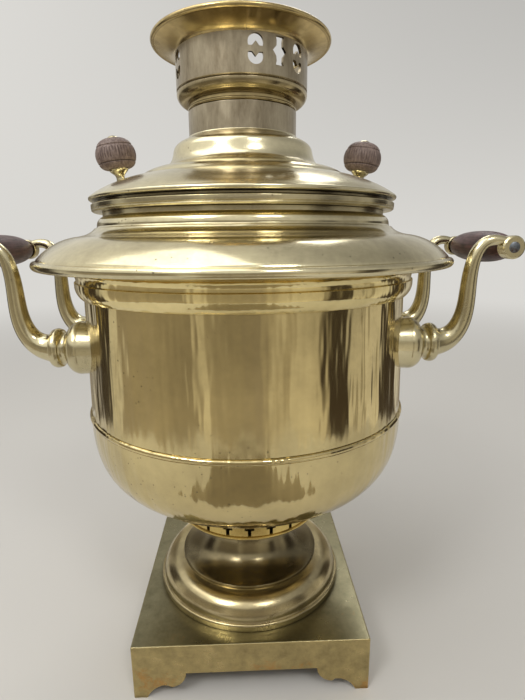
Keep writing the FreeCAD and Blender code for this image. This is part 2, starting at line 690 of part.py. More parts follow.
# Nodes and files
def both_sides(name, shape):
    """A piece of the right handle and its mirror image of the left one."""
    return {name + "_right": shape, name + "_left": mirrored(shape, X_AXIS)}


def nodes():
    pieces = {
        "base_plate": base_plate(), "pedestal_foot": pedestal_foot(), "pedestal_stem": pedestal_stem(),
        "air_gallery": air_gallery(),
        "body_bowl": body_bowl(), "seam_bead": seam_bead(), "body_wall": body_wall(),
        "collar_ring": collar_ring(), "shoulder": shoulder(), "lid_seat": lid_seat(),
        "firepot": firepot(), "chimney_tube": chimney_tube(), "grate": grate(),
        "arm_washers": arm_washers(), "arm_nuts": arm_nuts(),
        "lid": lid(), "lid_skirt": lid_skirt(), "lid_neck": lid_neck(), "knob_nuts": knob_nuts(),
        "vent_seat": vent_seat(), "vent_flap": vent_flap(),
        "crown_base": crown_base(), "crown_band": crown_band(), "crown_flange": crown_flange(),
        "tap_rosette": tap_rosette(), "tap_body": tap_body(), "tap_gasket": tap_gasket(),
        "tap_lock_nut": tap_lock_nut(), "tap_key": tap_key(),
        "tap_key_washer": tap_key_washer(), "tap_key_nut": tap_key_nut(),
    }
    arm = handle_arm()
    pieces.update(both_sides("handle_arm_front", arm))
    pieces.update(both_sides("handle_arm_back", mirrored(arm, Y_AXIS)))
    pieces.update(both_sides("handle_grip", handle_grip()))
    pieces.update(both_sides("handle_rod", handle_rod()))
    for side, word in ((-1, "left"), (1, "right")):
        pieces["lid_knob_" + word] = lid_knob(side)
        pieces["knob_stem_" + word] = knob_stem(side)
    return pieces


os.makedirs("parts", exist_ok=True)
for name, shape in nodes().items():
    good = shape.isValid() and all(s.isClosed() for s in shape.Shells)
    print(f"{name}: {len(shape.Solids)} solid, {shape.Volume / 1000:.2f} cm3, {'good' if good else 'BAD'}")
    shape.exportStep(f"parts/{name}.step")
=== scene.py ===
# %% [markdown]
# # A charcoal samovar in old brass
#
# This lesson dresses a finished CAD model. The frame below brings in every piece of the samovar, already
# in its place and in metres. Nothing here moves those pieces. We add a camera, a floor and lamps, give
# each piece the surface that the real one has, and turn again the spun pieces, which need a smoother
# shape than the CAD mesh gives.

# %% Load the frame
import math

import bpy
from mathutils import Matrix, Vector


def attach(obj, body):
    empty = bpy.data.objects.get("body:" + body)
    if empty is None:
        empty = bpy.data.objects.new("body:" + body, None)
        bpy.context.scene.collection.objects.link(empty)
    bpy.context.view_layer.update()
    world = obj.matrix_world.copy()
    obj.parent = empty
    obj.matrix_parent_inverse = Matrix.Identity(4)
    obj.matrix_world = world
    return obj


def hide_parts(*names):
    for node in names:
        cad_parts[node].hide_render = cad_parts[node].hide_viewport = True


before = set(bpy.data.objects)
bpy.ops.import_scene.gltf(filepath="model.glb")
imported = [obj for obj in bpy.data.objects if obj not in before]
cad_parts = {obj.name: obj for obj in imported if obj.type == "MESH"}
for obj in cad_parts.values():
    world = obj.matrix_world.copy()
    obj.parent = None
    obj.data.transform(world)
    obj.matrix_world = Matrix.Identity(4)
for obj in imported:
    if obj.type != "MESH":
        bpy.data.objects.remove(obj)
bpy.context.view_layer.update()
MM = 0.001

# %% [markdown]
# ## The camera
#
# A phone camera held close to the object makes strong perspective: we look down on the foot and up under
# the crown in one picture. A camera matches a photograph when its distance, height, tilt and lens all
# match, because each bends the ellipses of the rims in its own way. The values below were fitted to
# the ellipses of the samovar's rims.

# %% Camera
IMAGE_WIDTH, IMAGE_HEIGHT = 525, 700
FOCAL_PIXELS = 467.0
EYE = Vector((0.0, -346.4, 311.0)) * MM
TILT_DOWN = math.radians(13.39)
PAN_RIGHT = math.radians(2.02)
ROLL = math.radians(-0.50)


def camera_matrix():
    """The camera's place and turn in the world. It looks along its own -Z."""
    forward = Vector((math.sin(PAN_RIGHT) * math.cos(TILT_DOWN),
                      math.cos(PAN_RIGHT) * math.cos(TILT_DOWN), -math.sin(TILT_DOWN)))
    level = Vector((math.cos(PAN_RIGHT), -math.sin(PAN_RIGHT), 0))
    upright = level.cross(forward)
    right = math.cos(ROLL) * level + math.sin(ROLL) * upright
    up = math.cos(ROLL) * upright - math.sin(ROLL) * level
    turn = Matrix((right, up, -forward)).transposed()
    return Matrix.Translation(EYE) @ turn.to_4x4()


camera_data = bpy.data.cameras.new("camera")
camera_data.sensor_fit = "VERTICAL"
camera_data.sensor_height = 36.0
camera_data.lens = FOCAL_PIXELS / IMAGE_HEIGHT * camera_data.sensor_height
camera_data.clip_start = 0.02
camera = bpy.data.objects.new("camera", camera_data)
bpy.context.collection.objects.link(camera)
camera.matrix_world = camera_matrix()
bpy.context.scene.camera = camera
bpy.context.scene.view_settings.view_transform = "Standard"
print("lens:", round(camera_data.lens, 2), "mm")

# %% [markdown]
# ## Small helpers for materials
#
# Colours are written as sRGB hex values, as a painter would pick them, and turned to linear light by one
# function. One more function adds a node with its settings and its links, so that a material reads as a
# list of what feeds what.

# %% Colour and node helpers
def linear(hex_colour):
    """An sRGB hex colour as linear red, green, blue and an alpha of 1."""
    parts = [int(hex_colour[k:k + 2], 16) / 255 for k in (0, 2, 4)]
    return [c / 12.92 if c <= 0.04045 else ((c + 0.055) / 1.055) ** 2.4 for c in parts] + [1.0]


def add_node(tree, kind, settings=None, **links):
    """A node of this kind. Settings are its properties. Links are its inputs, by name or, as n0, n1 and so
    on, by number. Each is a plain value or a pair of a node and one of its outputs."""
    node = tree.nodes.new("ShaderNode" + kind)
    for key, value in (settings or {}).items():
        setattr(node, key, value)
    for socket, value in links.items():
        target = node.inputs[int(socket[1:])] if socket[0] == "n" and socket[1:].isdigit() \
            else node.inputs[socket.replace("_", " ")]
        if isinstance(value, tuple) and isinstance(value[0], bpy.types.Node):
            tree.links.new(value[0].outputs[value[1]], target)
        else:
            target.default_value = value
    return node


def new_material(name):
    """An empty material and its node tree."""
    material = bpy.data.materials.new(name)
    material.use_nodes = True
    material.node_tree.nodes.clear()
    return material, material.node_tree


print("brass yellow in linear light:", [round(c, 3) for c in linear("B5973F")[:3]])

# %% [markdown]
# ## The floor
#
# The samovar stands on a plain pale floor. Near it the floor is matt paint, which takes light and shadow.
# Further out it turns by degrees into the even light of the backdrop, so that no horizon shows. A curved
# sweep of paper is the studio's way to do that, but it faces one viewer only. This object is looked at
# from all sides, so the floor itself does the fading.

# %% Floor
BACKDROP, BACKDROP_LEVEL = "E9E7E2", 0.85
FLOOR_HALF = 40.0
FADE_FROM, FADE_TO = 0.5, 2.4


def seen_directly(tree):
    """1 for the rays that show this surface as a picture: to the camera, off metal or through glass."""
    ray = add_node(tree, "LightPath")
    clear = add_node(tree, "Math", {"operation": "MAXIMUM"}, n0=(ray, "Is Camera Ray"),
                     n1=(ray, "Is Transmission Ray"))
    return add_node(tree, "Math", {"operation": "MAXIMUM"}, n0=(clear, 0), n1=(ray, "Is Glossy Ray"))


floor_mesh = bpy.data.meshes.new("floor")
floor_mesh.from_pydata([(-FLOOR_HALF, -FLOOR_HALF, 0), (FLOOR_HALF, -FLOOR_HALF, 0),
                        (FLOOR_HALF, FLOOR_HALF, 0), (-FLOOR_HALF, FLOOR_HALF, 0)], [], [(0, 1, 2, 3)])
floor = bpy.data.objects.new("floor", floor_mesh)
bpy.context.collection.objects.link(floor)
floor_paint, tree = new_material("floor_paint")
place = add_node(tree, "TexCoord")
away = add_node(tree, "VectorMath", {"operation": "LENGTH"}, n0=(place, "Object"))
fade = add_node(tree, "MapRange", {"interpolation_type": "SMOOTHSTEP"}, n0=(away, "Value"), n1=FADE_FROM,
                n2=FADE_TO, n3=0.0, n4=1.0)
far = add_node(tree, "Math", {"operation": "MULTIPLY"}, n0=(fade, 0), n1=(seen_directly(tree), 0))
paint = add_node(tree, "BsdfDiffuse", Color=linear("DAD7D1"))
sweep = add_node(tree, "Emission", Color=linear(BACKDROP), Strength=BACKDROP_LEVEL)
both = add_node(tree, "MixShader", n0=(far, 0), n1=(paint, 0), n2=(sweep, 0))
add_node(tree, "OutputMaterial", Surface=(both, 0))
floor_mesh.materials.append(floor_paint)
print("floor:", 2 * FLOOR_HALF, "m wide, paint up to", FADE_FROM, "m, backdrop from", FADE_TO, "m")

# %% [markdown]
# ## The world
#
# The world does two jobs. For rays that carry light it is a weak even sky, which fills the shadows. For
# rays that show a picture it is the backdrop. Higher up, the backdrop is paler on the left and darker on
# the right, like a room with its window on one side. That slope shades the shoulder and the lid across
# their width. A picture of a real room could do both jobs, but nodes keep each level plain to read.

# %% World
WINDOW_SIDE, WINDOW_GAIN = (-0.9, -0.35, 0.0), 0.9
SKY_LEVEL = 0.42

world = bpy.data.worlds.new("studio")
bpy.context.scene.world = world
world.use_nodes = True
tree = world.node_tree
tree.nodes.clear()
view = add_node(tree, "TexCoord")
split = add_node(tree, "SeparateXYZ", Vector=(view, "Generated"))
left = add_node(tree, "VectorMath", {"operation": "DOT_PRODUCT"}, n0=(view, "Generated"), n1=WINDOW_SIDE)
height = add_node(tree, "Math", {"operation": "MAXIMUM"}, n0=(split, "Z"), n1=0.0)
window = add_node(tree, "Math", {"operation": "MULTIPLY"}, n0=(left, "Value"), n1=(height, 0))
level = add_node(tree, "Math", {"operation": "MULTIPLY_ADD"}, n0=(window, 0), n1=WINDOW_GAIN,
                 n2=BACKDROP_LEVEL)
backdrop = add_node(tree, "Background", Color=linear(BACKDROP), Strength=(level, 0))
soft_light = add_node(tree, "Background", Color=linear("F1EFEB"), Strength=SKY_LEVEL)
air = add_node(tree, "MixShader", n0=(seen_directly(tree), 0), n1=(soft_light, 0), n2=(backdrop, 0))
add_node(tree, "OutputWorld", Surface=(air, 0))
print("world: light", SKY_LEVEL, "and backdrop", BACKDROP_LEVEL)

# %% [markdown]
# ## Cards for the reflections
#
# Polished brass has almost no colour of its own: it shows what stands round it. Photographers therefore
# set pale and dark cards round metal. Here the cards are one bent sheet, a ring round the vessel, whose
# greys blend into each other. Pale next to dark gives the upright streaks that make a round wall look
# round. Lit cards would also brighten wood and floor, so these glow by themselves and only glossy rays
# meet them.


# %% Cards
def card(name, columns, shades):
    """A card that only glossy rays meet. Columns are rows of points along its length, and each point has
    its own grey, which blends into the next one's."""
    tall = len(columns[0])
    faces = [(k * tall + j, (k + 1) * tall + j, (k + 1) * tall + j + 1, k * tall + j + 1)
             for k in range(len(columns) - 1) for j in range(tall - 1)]
    mesh = bpy.data.meshes.new(name)
    mesh.from_pydata([point for column in columns for point in column], [], faces)
    layer = mesh.color_attributes.new("shade", "FLOAT_COLOR", "POINT")
    for corner, grey in zip(layer.data, [grey for column in shades for grey in column]):
        corner.color = grey
    paint, tree = new_material(name + "_paint")
    shade = add_node(tree, "Attribute", {"attribute_name": "shade"})
    glow = add_node(tree, "Emission", Color=(shade, 0), Strength=1.0)
    add_node(tree, "OutputMaterial", Surface=(glow, 0))
    mesh.materials.append(paint)
    sheet = bpy.data.objects.new(name, mesh)
    bpy.context.collection.objects.link(sheet)
    for ray in ("camera", "diffuse", "transmission", "volume_scatter", "shadow"):
        setattr(sheet, "visible_" + ray, False)
    print(name, "has", len(faces), "faces")


# %% [markdown]
# The ring's greys are listed by angle. In front they are middle greys with narrow pale bands between
# them. Dark bands stand at the sides, because the wall mirrors those near its edges, where they make it
# turn away. Each level of the ring is a height in metres and the share of the grey that shows there: it
# is palest at the floor and darker higher up.

# %% Reflected ring
RING_RADIUS = 0.6
RING_LEVELS = [(0.0, 1.15), (0.12, 1.0), (0.24, 0.9), (0.30, 0.72), (0.40, 0.66)]
RING_SHADES = [(-180, "A39A89"), (-166, "A9A08F"), (-160, "CFC8B8"), (-156, "CFC8B8"), (-150, "948B7C"),
               (-133, "8A8272"), (-128, "C9C4BA"), (-123, "C9C4BA"), (-118, "423A32"), (-99, "423A32"),
               (-95, "D6D2C8"), (-86, "D6D2C8"), (-80, "A0978A"), (-60, "A59C8B"), (-33, "948B7C"),
               (-27, "CFC8B8"), (-23, "CFC8B8"), (-18, "A9A08F"), (-8, "A39A89"), (8, "A0978A"),
               (18, "B5AC9A"), (26, "CFC8B8"), (46, "C3BCAC"), (50, "8A8273"), (54, "423A32"),
               (63, "423A32"), (67, "C9C4BA"), (74, "C9C4BA"), (78, "8A8273"), (84, "D8D3C8"),
               (94, "D8D3C8"), (99, "423A32"), (118, "423A32"), (123, "C9C4BA"), (128, "C9C4BA"),
               (133, "8A8272"), (150, "948B7C"), (156, "CFC8B8"), (160, "CFC8B8"), (166, "A9A08F"),
               (180, "A39A89")]


def ring_shade(angle, share):
    """A share of the ring's linear grey at an angle in degrees. 0 is in front, and the angle grows to the
    right."""
    for (low, before), (high, after) in zip(RING_SHADES, RING_SHADES[1:]):
        if low <= angle <= high:
            t = (angle - low) / (high - low)
            return [share * ((1 - t) * a + t * b) for a, b in zip(linear(before), linear(after))]


def ring_column(angle):
    """The ring's points at one angle, from the floor up."""
    turn = math.radians(angle)
    return [(RING_RADIUS * math.sin(turn), -RING_RADIUS * math.cos(turn), z) for z, share in RING_LEVELS]


angles = range(-180, 181)
card("reflected_ring", [ring_column(angle) for angle in angles],
     [[ring_shade(angle, share) for z, share in RING_LEVELS] for angle in angles])

# %% [markdown]
# The underside of the bowl looks down at the table, so a card lies in front of the foot. It is a little
# darker in its middle, as a painted shadow on the table, and the bowl shows it as a dark shape with soft
# ends.

# %% Reflected shadow card
SHADOW_CARD_COLUMNS = [(-0.16, "A59C8B"), (-0.09, "8C8373"), (0.09, "8C8373"), (0.16, "A59C8B")]
SHADOW_CARD_NEAR, SHADOW_CARD_FAR, SHADOW_CARD_HEIGHT = -0.2, -0.55, 0.003
card("reflected_shadow_card", [[(x, SHADOW_CARD_NEAR, SHADOW_CARD_HEIGHT), (x, SHADOW_CARD_FAR, SHADOW_CARD_HEIGHT)] for x, shade in SHADOW_CARD_COLUMNS],
     [[linear(shade)] * 2 for x, shade in SHADOW_CARD_COLUMNS])

# %% [markdown]
# ## Lamps
#
# Soft panels light the object from above, from both sides in front and from behind. A large panel gives
# soft shadows, where a bare bulb would draw hard ones. All four show in the metal too: the large ones as
# wide pale fields on shoulder and lid, the small ones as short glints on bosses and beads. They stay weak,
# so that wood and floor keep the colours they are written with.


# %% Lamps
def soft_panel(name, place, width, height, watts):
    """A lamp panel, in metres, that faces the middle of the vessel."""
    lamp = bpy.data.lights.new(name, "AREA")
    lamp.shape = "RECTANGLE"
    lamp.size, lamp.size_y, lamp.energy = width, height, watts
    panel = bpy.data.objects.new(name, lamp)
    bpy.context.collection.objects.link(panel)
    panel.location = place
    panel.rotation_euler = (VESSEL_MIDDLE - Vector(place)).to_track_quat("-Z", "Y").to_euler()


VESSEL_MIDDLE = Vector((0, 0, 0.25))
soft_panel("panel_overhead", (-0.6, -0.25, 1.6), 1.5, 1.2, 8)
soft_panel("panel_front_right", (0.45, -1.15, 1.55), 0.35, 0.35, 5)
soft_panel("panel_front_left", (-0.75, -0.95, 1.45), 0.4, 0.4, 6)
soft_panel("panel_back", (0.3, 1.3, 1.7), 0.8, 0.5, 6)

# %% [markdown]
# ## Old brass
#
# The vessel is sheet brass, spun over a form and polished, then used for decades. To the eye it is a
# mirror gone soft: a thin brown oxide dulls it in patches, the creases are dark, and small pits hold dark
# spots. One painted picture per piece could show that, but it would blur up close and not fit any other
# piece. So the age is built from noise, one layer to a function, and brass() lays them on in the order in
# which the years did. The dark of the creases is painted shade, found by ambient occlusion.
#
# Oxide comes first. Noise hardly leaves the middle of its range, so a narrow range of it is stretched.

# %% Oxide
PATCH_SIZE, SPECKLE_SIZE = 60 * MM, 5 * MM
DULLING = 0.14


def oxide_layer(tree, place, clean, oxide, cover, rough, mottle):
    """Colour and roughness of brass under oxide that lies in patches and, by the share of mottle, in
    speckles."""
    patches = add_node(tree, "TexNoise", Vector=(place, "Object"), Scale=1 / PATCH_SIZE, Detail=6.0,
                       Roughness=0.62)
    speckles = add_node(tree, "TexNoise", Vector=(place, "Object"), Scale=1 / SPECKLE_SIZE, Detail=5.0,
                        Roughness=0.7)
    mixed = add_node(tree, "Mix", {"data_type": "FLOAT"}, n0=mottle, n2=(patches, 0), n3=(speckles, 0))
    oxidised = add_node(tree, "MapRange", n0=(mixed, 0), n1=0.36, n2=0.66, n3=0.0, n4=cover)
    colour = add_node(tree, "Mix", {"data_type": "RGBA"}, n0=(oxidised, 0), n6=linear(clean),
                      n7=linear(oxide))
    dull = add_node(tree, "MapRange", n0=(mixed, 0), n1=0.35, n2=0.7, n3=rough, n4=rough + DULLING)
    return (colour, 2), (dull, 0)


print("oxide patches", PATCH_SIZE, "m, speckles", SPECKLE_SIZE, "m")

# %% [markdown]
# Next comes heat. Close to the smoke, brass goes grey-brown and matt, with smears that run upwards. The
# stain sets in above a given height, so that a moulding below it can stay clean, as hands rub it bright
# at each lift.

# %% Heat stain
SMEAR_WIDTH, SMEAR_STRETCH = 10 * MM, 0.3
HEAT_COVER, HEAT_DULLING = 0.85, 0.14


def heat_stain(tree, place, colour, dull, start, full):
    """The colour and roughness, stained above a height. It starts at one height in millimetres and is
    full at the other."""
    height = add_node(tree, "SeparateXYZ", Vector=(place, "Object"))
    hot = add_node(tree, "MapRange", n0=(height, "Z"), n1=start * MM, n2=full * MM, n3=0.0, n4=HEAT_COVER)
    upwards = add_node(tree, "Mapping", Vector=(place, "Object"), Scale=(1.0, 1.0, SMEAR_STRETCH))
    smears = add_node(tree, "TexNoise", Vector=(upwards, 0), Scale=1 / SMEAR_WIDTH, Detail=7.0,
                      Roughness=0.68)
    burnt = add_node(tree, "MapRange", n0=(smears, 0), n1=0.3, n2=0.72, n3=0.0, n4=1.0)
    grey = add_node(tree, "Mix", {"data_type": "RGBA"}, n0=(burnt, 0), n6=linear("B9AE98"),
                    n7=linear("665A4A"))
    stained = add_node(tree, "Mix", {"data_type": "RGBA"}, n0=(hot, 0), n6=colour, n7=(grey, 2))
    matt = add_node(tree, "Math", {"operation": "MULTIPLY_ADD"}, n0=(hot, 0), n1=HEAT_DULLING, n2=dull)
    return (stained, 2), (matt, 0)


print("smears", SMEAR_WIDTH, "m wide and", round(1 / SMEAR_STRETCH, 1), "times as tall")

# %% [markdown]
# Then painted shade and pits. What ambient occlusion finds closed in is painted dark, as the shade that
# falls in grooves and creases. Pits are small cells of a Voronoi pattern, let through only where a wide
# noise is high, so that they come in swarms as corrosion does.

# %% Painted crease shade and pits
CREASE_REACH = 4 * MM
PIT_SPACING, SWARM_SIZE = 4.5 * MM, 45 * MM
PIT_DEPTH_OF_SHADE = 0.55


def painted_crease_shade(tree, colour):
    """The colour painted dark where the surface is closed in: painted shade in creases."""
    open_sky = add_node(tree, "AmbientOcclusion", {"samples": 6}, Distance=CREASE_REACH)
    crease_shade_mask = add_node(tree, "MapRange", n0=(open_sky, "AO"), n1=0.6, n2=0.2, n3=0.0, n4=0.85)
    shade_darkened = add_node(tree, "Mix", {"data_type": "RGBA"}, n0=(crease_shade_mask, 0), n6=colour, n7=linear("2E2214"))
    return (shade_darkened, 2)


def pits(tree, place, colour):
    """The colour with swarms of small dark spots."""
    cells = add_node(tree, "TexVoronoi", Vector=(place, "Object"), Scale=1 / PIT_SPACING)
    where = add_node(tree, "TexNoise", Vector=(place, "Object"), Scale=1 / SWARM_SIZE, Detail=2.0)
    few = add_node(tree, "MapRange", n0=(where, 0), n1=0.45, n2=0.62, n3=0.0, n4=0.12)
    pit = add_node(tree, "Math", {"operation": "LESS_THAN"}, n0=(cells, 0), n1=(few, 0))
    shade = add_node(tree, "Math", {"operation": "MULTIPLY"}, n0=(pit, 0), n1=PIT_DEPTH_OF_SHADE)
    pitted = add_node(tree, "Mix", {"data_type": "RGBA"}, n0=(shade, 0), n6=colour, n7=linear("2A2013"))
    return (pitted, 2)


print("pits", PIT_SPACING, "m apart in swarms of", SWARM_SIZE, "m")

# %% [markdown]
# Last comes the relief that bends reflections. All sheet has shallow dents. The vessel's tall wall also
# waves, in long upright folds too shallow to see except in a mirror. The lathe leaves fine rings. Real
# ones are a few tenths of a millimetre apart, which this picture is too small to show, so they are drawn
# as bands of about three millimetres with finer ones in them.

# %% Relief
DENT_SIZE, DENT_DEPTH = 50 * MM, 0.25 * MM
WAVE_WIDTH, WAVE_STRETCH = 24 * MM, 0.16
RING_PITCH, RING_STRETCH = 3 * MM, 0.02


def relief(tree, place, wave, turning):
    """Bump of dents, upright waves and lathe rings. The last two have their depth in millimetres."""
    dents = add_node(tree, "TexNoise", Vector=(place, "Object"), Scale=1 / DENT_SIZE, Detail=1.0)
    bump = add_node(tree, "Bump", Strength=1.0, Distance=DENT_DEPTH, Height=(dents, 0))
    if wave:
        tall = add_node(tree, "Mapping", Vector=(place, "Object"), Scale=(1.0, 1.0, WAVE_STRETCH))
        waves = add_node(tree, "TexNoise", Vector=(tall, 0), Scale=1 / WAVE_WIDTH, Detail=3.0,
                         Roughness=0.5)
        bump = add_node(tree, "Bump", Strength=1.0, Distance=wave * MM, Height=(waves, 0),
                        Normal=(bump, 0))
    if turning:
        flat = add_node(tree, "Mapping", Vector=(place, "Object"), Scale=(RING_STRETCH, RING_STRETCH, 1.0))
        rings = add_node(tree, "TexNoise", Vector=(flat, 0), Scale=1 / RING_PITCH, Detail=4.0,
                         Roughness=0.6)
        bump = add_node(tree, "Bump", Strength=1.0, Distance=turning * MM, Height=(rings, 0),
                        Normal=(bump, 0))
    return (bump, 0)


print("dents", DENT_SIZE, "m, waves", WAVE_WIDTH, "m, lathe rings", RING_PITCH, "m")

# %% [markdown]
# Now the layers go on, one after another. What changes from piece to piece is how clean the brass is, how
# smooth, and how much the sheet waves.


# %% Brass from its layers
def brass(name, clean, oxide, cover=0.5, rough=0.14, wave=0.0, turning=0.0, mottle=0.35, heat=None):
    """Polished old brass. Clean and oxide are its two colours, cover is how much oxide lies on it, and
    heat is the two heights in millimetres between which heat stain sets in."""
    material, tree = new_material(name)
    place = add_node(tree, "TexCoord")
    colour, dull = oxide_layer(tree, place, clean, oxide, cover, rough, mottle)
    if heat:
        colour, dull = heat_stain(tree, place, colour, dull, *heat)
    # Painted shade darkens the creases, then the pits go on.
    colour = pits(tree, place, painted_crease_shade(tree, colour))
    surface = add_node(tree, "BsdfPrincipled", Base_Color=colour, Metallic=1.0, Roughness=dull,
                       Normal=relief(tree, place, wave, turning))
    add_node(tree, "OutputMaterial", Surface=(surface, 0))
    return material


# Rubbed most often: a clear mirror, with reflections broken into upright streaks.
VESSEL_BRASS = brass("polished_spun_brass", "E1CF9A", "8E805E", cover=0.5, rough=0.07, wave=3.0,
                     turning=0.005, mottle=0.15)
# Thick and bright: the clearest mirror, but its reflections wander, because it was pressed.
COLLAR_BRASS = brass("bright_spun_brass", "F2E0A6", "A1905C", cover=0.4, rough=0.05, wave=2.0)
# Paler and softer, with lathe lines: wide lights without sharp edges.
SHOULDER_BRASS = brass("pale_spun_brass", "EADFB8", "9A8F72", cover=0.7, rough=0.12, turning=0.06,
                       mottle=0.2)
LID_BRASS = brass("lid_brass", "EFE5C0", "A2977A", cover=0.6, rough=0.14, turning=0.08, mottle=0.2)
# Cast in sand and filed: a satin skin that mirrors only softly.
CAST_BRASS = brass("satin_cast_brass", "DDD2AC", "8F8566", cover=0.5, rough=0.17, mottle=0.15)
# Thin and yellow, close to the fire and seldom rubbed: a golden glow between the slots.
AIR_RING_BRASS = brass("golden_sheet_brass", "E2C87E", "9A8048", cover=0.6, rough=0.16)
print("brasses:", [m.name for m in bpy.data.materials if "brass" in m.name])

# %% [markdown]
# The fire changes brass too. Above the lid it is stained by heat, and the flange wears a brown haze of
# smoke. The foot stands under the ash: nobody polishes it well, so its cushion is dull. The bell above
# it is almost brown: it is smoked, and the shade under the bowl is painted into its colour as well.

# %% Brass near the fire
CROWN_BRASS = brass("heat_stained_brass", "BBA97C", "6E6144", cover=0.7, rough=0.14, turning=0.005,
                    mottle=0.3, heat=(401, 407))
SLEEVE_BRASS = brass("heat_stained_neck_brass", "BBA97C", "6E6144", cover=0.7, rough=0.14, turning=0.005,
                     mottle=0.3, heat=(365, 372))
FLANGE_BRASS = brass("smoky_flange_brass", "D2BC86", "7A6742", cover=0.8, rough=0.18, turning=0.008)
CUSHION_BRASS = brass("smoked_spun_brass", "D2C398", "776B50", cover=0.7, rough=0.17, mottle=0.2)
# Darker than the cushion: smoke, and painted shade from the bowl above.
SHADED_BELL_BRASS = brass("shaded_smoked_brass", "948868", "4C4436", cover=0.8, rough=0.19, mottle=0.2)
print("brasses in all:", len([m for m in bpy.data.materials if "brass" in m.name]))

# %% [markdown]
# ## Spun pieces
#
# Most of a samovar is spun: sheet brass pressed over a turning form. In Blender such a piece is an
# outline turned round an axis. The CAD mesh has the right shape, but its facets show in a mirror finish,
# so the spun pieces are turned again here from the same outlines. The Screw modifier could turn them too.
# Mesh code is used instead, because a mirror needs its normals from the outline itself: then reflections
# run round the piece without a ripple.
#
# An outline is a list of runs in millimetres, radius first and height second. First come the points of an
# arc and of a curve.

# %% Arcs and curves
ARC_STEP = 0.14
CURVE_STEPS = 22


def arc_points(a, through, b):
    """Points on the circle through three points, from a (left out) to b."""
    ax, ay, bx, by = a[0] - through[0], a[1] - through[1], b[0] - through[0], b[1] - through[1]
    cross = 2 * (ax * by - ay * bx)
    ux = (by * (ax * ax + ay * ay) - ay * (bx * bx + by * by)) / cross
    uy = (ax * (bx * bx + by * by) - bx * (ax * ax + ay * ay)) / cross
    centre, radius = (through[0] + ux, through[1] + uy), math.hypot(ux, uy)
    angles = [math.atan2(p[1] - centre[1], p[0] - centre[0]) for p in (a, through, b)]
    sweep = (angles[2] - angles[0]) % (2 * math.pi)
    if (angles[1] - angles[0]) % (2 * math.pi) > sweep:
        sweep -= 2 * math.pi
    steps = max(3, round(abs(sweep) / ARC_STEP))
    return [(centre[0] + radius * math.cos(angles[0] + sweep * k / steps),
             centre[1] + radius * math.sin(angles[0] + sweep * k / steps)) for k in range(1, steps + 1)]


def curve_points(a, b, c, d):
    """Points on a curve from a (left out) to d with controls b and c."""
    rows = []
    for k in range(1, CURVE_STEPS + 1):
        t, s = k / CURVE_STEPS, 1 - k / CURVE_STEPS
        rows.append(tuple(s ** 3 * a[i] + 3 * s * s * t * b[i] + 3 * s * t * t * c[i] + t ** 3 * d[i]
                          for i in (0, 1)))
    return rows


def outline_points(start, *runs):
    """A closed outline of radius and height in millimetres. A run of one point is a line, of two an arc
    through the first, of three a curve with two controls."""
    points = [start]
    for run in runs:
        if len(run) == 1:
            points.append(run[0])
        elif len(run) == 2:
            points += arc_points(points[-1], *run)
        else:
            points += curve_points(points[-1], *run)
    return points if math.dist(points[0], points[-1]) > 1e-6 else points[:-1]


print("a half circle has", len(arc_points((0, -1), (1, 0), (0, 1))), "steps")

# %% [markdown]
# No polished edge is truly sharp, and in a mirror finish the tiny round at an edge is what draws it: it
# catches a lamp from any side. So every sharp corner is rounded, by less than half a millimetre.

# %% Rounded corners and normals
EDGE_ROUND = 0.4
SHARP_TURN = math.radians(22)
EDGE_SHARE = 0.4


def rounded(points):
    """The same outline with a small round at each sharp corner."""
    smooth = []
    for k, here in enumerate(points):
        before, after = points[k - 1], points[(k + 1) % len(points)]
        back, ahead = math.dist(here, before), math.dist(here, after)
        into = ((here[0] - before[0]) / back, (here[1] - before[1]) / back)
        away = ((after[0] - here[0]) / ahead, (after[1] - here[1]) / ahead)
        turn = math.acos(max(-1.0, min(1.0, into[0] * away[0] + into[1] * away[1])))
        if turn < SHARP_TURN:
            smooth.append(here)
            continue
        cut = min(EDGE_ROUND * math.tan(turn / 2), EDGE_SHARE * back, EDGE_SHARE * ahead)
        first = (here[0] - into[0] * cut, here[1] - into[1] * cut)
        last = (here[0] + away[0] * cut, here[1] + away[1] * cut)
        smooth.append(first)
        smooth += [tuple((1 - t) ** 2 * first[i] + 2 * (1 - t) * t * here[i] + t * t * last[i]
                         for i in (0, 1)) for t in (0.25, 0.5, 0.75)]
        smooth.append(last)
    return smooth


def outline_normals(points):
    """The outward normal at each point, led by the longer of its two neighbours."""
    area = sum(points[k - 1][0] * p[1] - p[0] * points[k - 1][1] for k, p in enumerate(points))
    side = 1 if area > 0 else -1
    normals = []
    for k, here in enumerate(points):
        before, after = points[k - 1], points[(k + 1) % len(points)]
        x = side * ((here[1] - before[1]) + (after[1] - here[1]))
        y = -side * ((here[0] - before[0]) + (after[0] - here[0]))
        size = math.hypot(x, y) or 1.0
        normals.append((x / size, y / size))
    return normals


square = [(10, 0), (20, 0), (20, 10), (10, 10)]
print("a square's corners become", len(rounded(square)) // len(square), "points each")

# %% [markdown]
# Turning copies the outline round the axis and joins each copy to the next. The finished piece stands for
# its CAD node and rides on that node's body. Where the tap's shank or the steam passes through the sheet,
# the faces near it are left out, and the tap's rosette or the seat of the steam flap covers the gap's rim.


